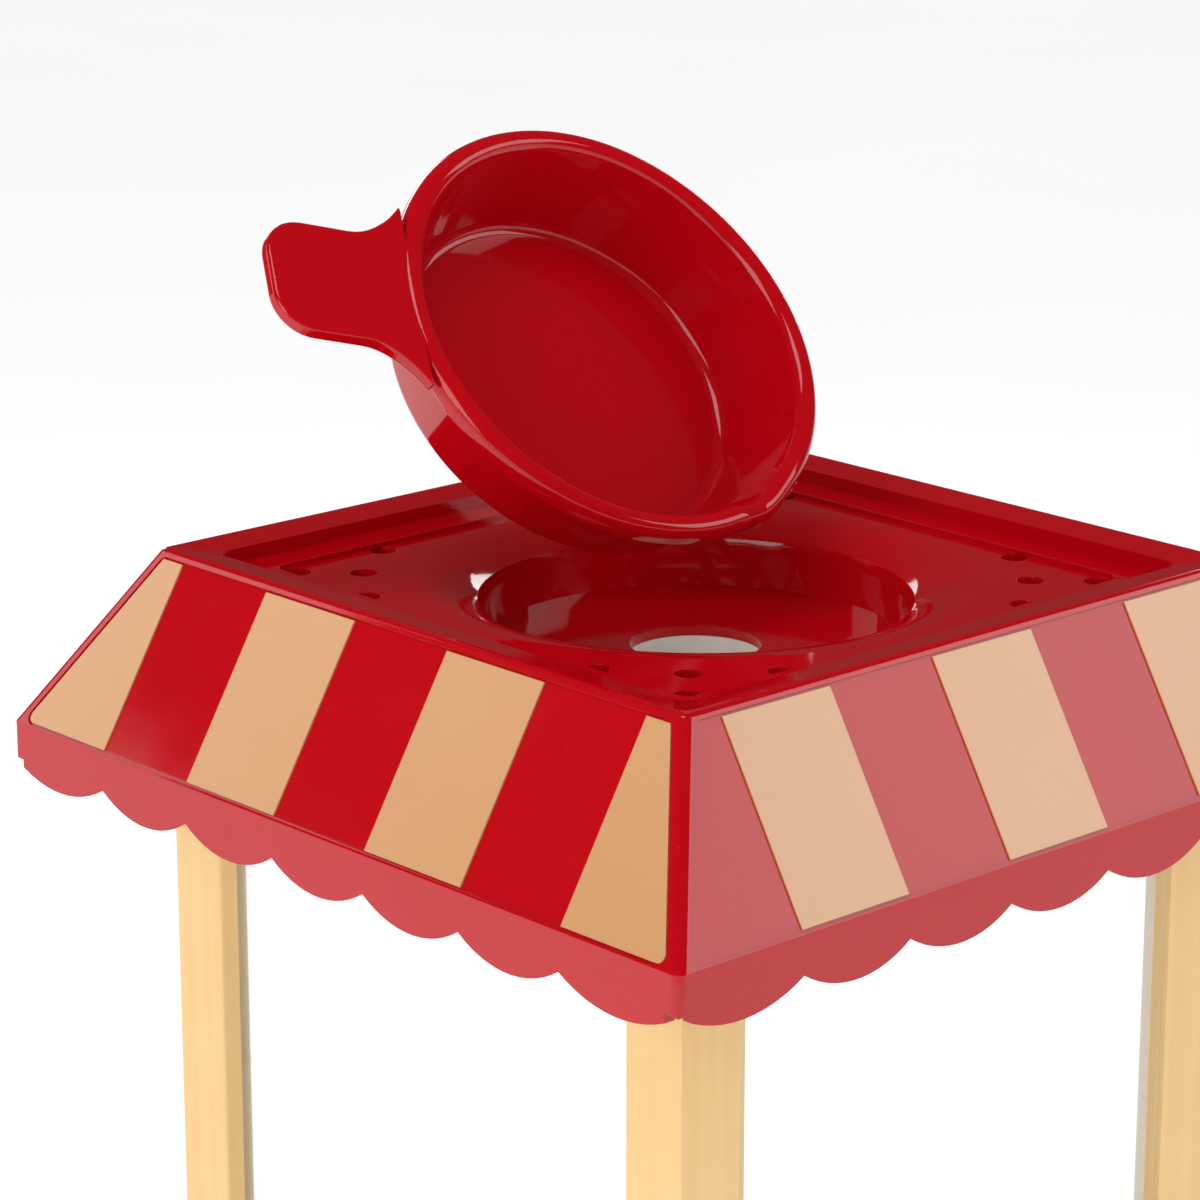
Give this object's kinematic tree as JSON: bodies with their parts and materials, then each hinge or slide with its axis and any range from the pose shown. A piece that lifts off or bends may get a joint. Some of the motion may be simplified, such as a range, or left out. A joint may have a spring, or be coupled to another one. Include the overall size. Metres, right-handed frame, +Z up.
{
  "type": "popcorn cart",
  "caption": "Tabletop hot-air popcorn cart with a striped hipped roof, roof hopper, tipping measuring cup, clear cabinet, hinged door and spoked wheels.",
  "frame": {"origin": "on the table, under the middle of the cabinet, at the bottom centre of the whole object's box", "axes": "+Z up, front with the clear door towards -Y, wheel axle along X"},
  "size_m": [0.2064, 0.2064, 0.4818],
  "materials": {
    "canopy_red": "deep red glossy moulded plastic",
    "base_red": "deep red glossy moulded plastic",
    "cup_red": "deep red glossy moulded plastic",
    "trim_red": "deep red glossy moulded plastic",
    "leg_red": "deep red glossy moulded plastic",
    "label_cream": "satin cream printed film",
    "post_cream": "satin cream paint",
    "deck_cream": "satin cream moulded plastic",
    "wheel_cream": "cream moulded plastic",
    "handle_cream": "cream moulded plastic",
    "clear_plastic": "clear polycarbonate sheet",
    "inner_plastic": "heat-resistant off-white moulding",
    "chamber_aluminium": "drawn aluminium",
    "steel": "zinc-plated steel",
    "fan_plastic": "black glass-filled nylon",
    "mica": "mica sheet",
    "heater_wire": "resistance wire",
    "fuse_ceramic": "white ceramic",
    "board": "green circuit board",
    "black_plastic": "black moulded plastic",
    "rubber": "black rubber"
  },
  "bodies": {
    "cart": {"air_duct": "inner_plastic", "axle": "steel", "axle_clip_left": "steel", "axle_clip_right": "steel", "base_housing": "base_red", "base_screws": "steel", "bottom_plate": "inner_plastic", "canopy_shell": "canopy_red", "ceiling_panel": "inner_plastic", "ceiling_screws": "steel", "cord_gland": "black_plastic", "door_hanger_left": "inner_plastic", "door_hanger_right": "inner_plastic", "door_pin": "steel", "foot_left": "rubber", "foot_right": "rubber", "handle_arm_left": "leg_red", "handle_arm_right": "leg_red", "heating_coil": "heater_wire", "kernel_chute": "inner_plastic", "leg_left": "leg_red", "leg_right": "leg_red", "mica_formers": "mica", "motor_bracket": "steel", "motor_can": "steel", "popcorn_deck": "deck_cream", "popping_chamber": "chamber_aluminium", "post_back_left": "post_cream", "post_back_right": "post_cream", "post_front_left": "post_cream", "post_front_right": "post_cream", "push_handle": "handle_cream", "rectifier_board": "board", "stripe_labels_back": "label_cream", "stripe_labels_front": "label_cream", "stripe_labels_left": "label_cream", "stripe_labels_right": "label_cream", "switch_body": "black_plastic", "thermal_fuse": "fuse_ceramic", "thermostat": "steel", "window_back": "clear_plastic", "window_left": "clear_plastic", "window_right": "clear_plastic"},
    "cup": {"measuring_cup": "cup_red"},
    "door": {"front_door": "clear_plastic", "door_knob": "trim_red"},
    "rocker": {"switch_rocker": "black_plastic"},
    "fan": {"fan_impeller": "fan_plastic", "motor_shaft": "steel"},
    "wheel_left_body": {"wheel_left": "wheel_cream", "tyre_left": "rubber", "hub_cap_left": "trim_red"},
    "wheel_right_body": {"wheel_right": "wheel_cream", "tyre_right": "rubber", "hub_cap_right": "trim_red"}
  },
  "joints": [
    {"name": "cup_pour", "type": "hinge", "parent": "cart", "child": "cup", "pos_m": [-0.0058, 0.0362, 0.4372], "axis": [1, 0, 0], "range_deg": [-48, 20]},
    {"name": "door_swing", "type": "hinge", "parent": "cart", "child": "door", "pos_m": [0, -0.0775, 0.343], "axis": [-1, 0, 0], "range_deg": [0, 85]},
    {"name": "switch_rock", "type": "hinge", "parent": "cart", "child": "rocker", "pos_m": [0.05, -0.083, 0.092], "axis": [1, 0, 0], "range_deg": [-8, 8]},
    {"name": "fan_spin", "type": "hinge", "parent": "cart", "child": "fan", "pos_m": [0, 0, 0.07], "axis": [0, 0, 1], "continuous": true},
    {"name": "wheel_left_spin", "type": "hinge", "parent": "cart", "child": "wheel_left_body", "pos_m": [-0.093, 0.048, 0.054], "axis": [1, 0, 0], "continuous": true},
    {"name": "wheel_right_spin", "type": "hinge", "parent": "cart", "child": "wheel_right_body", "pos_m": [0.093, 0.048, 0.054], "axis": [1, 0, 0], "continuous": true}
  ]
}
